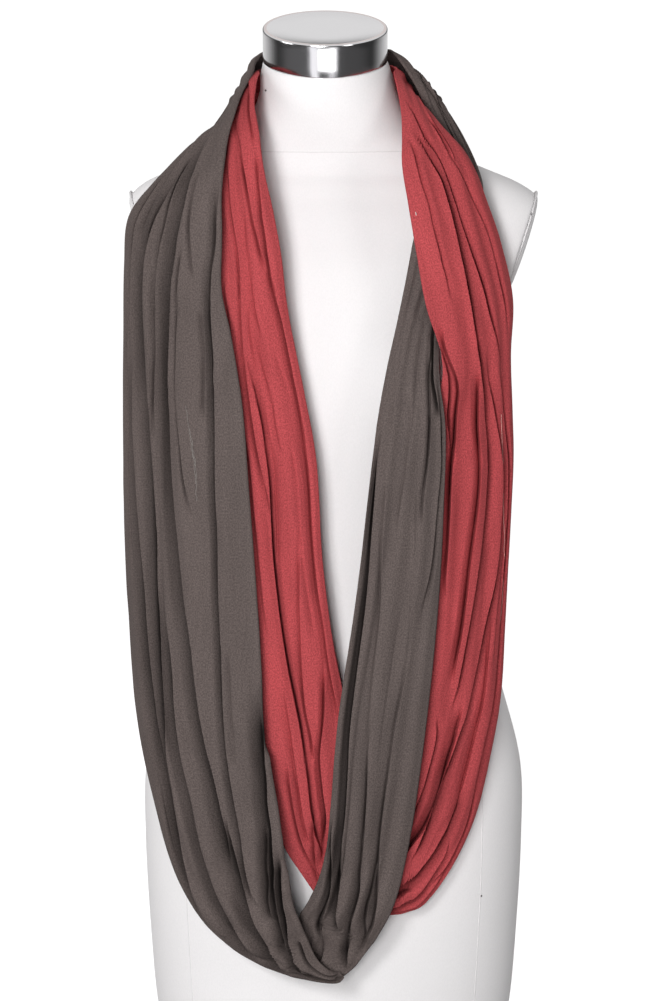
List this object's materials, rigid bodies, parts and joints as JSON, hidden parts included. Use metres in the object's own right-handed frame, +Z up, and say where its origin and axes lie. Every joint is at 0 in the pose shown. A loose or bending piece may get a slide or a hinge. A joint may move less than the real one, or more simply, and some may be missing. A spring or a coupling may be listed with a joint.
{
  "type": "infinity scarf on dress form",
  "caption": "Infinity scarf of two linked jersey loops in two colours, draped round the neck of a limbless dress form.",
  "frame": {"origin": "middle of the bounding box, at the flat foot of the dress form", "axes": "+Z up along the form, -Y the front of the form, +X the wearer's left"},
  "size_m": [0.376, 0.2856, 0.9481],
  "materials": {
    "dark_jersey": "matte viscose jersey, dark olive grey",
    "red_jersey": "matte viscose jersey, brick red",
    "form_cover": "stretched off-white jersey over a padded shell",
    "cap_metal": "polished chrome with a brushed band"
  },
  "bodies": {
    "root": {"dark_left": "dark_jersey", "dark_right": "dark_jersey", "dark_shoulder": "dark_jersey", "dark_nape": "dark_jersey", "red_left": "red_jersey", "red_right": "red_jersey", "red_nape": "red_jersey", "form_body": "form_cover", "arm_plate_left": "form_cover", "arm_plate_right": "form_cover", "neck_cap": "cap_metal"}
  },
  "joints": []
}
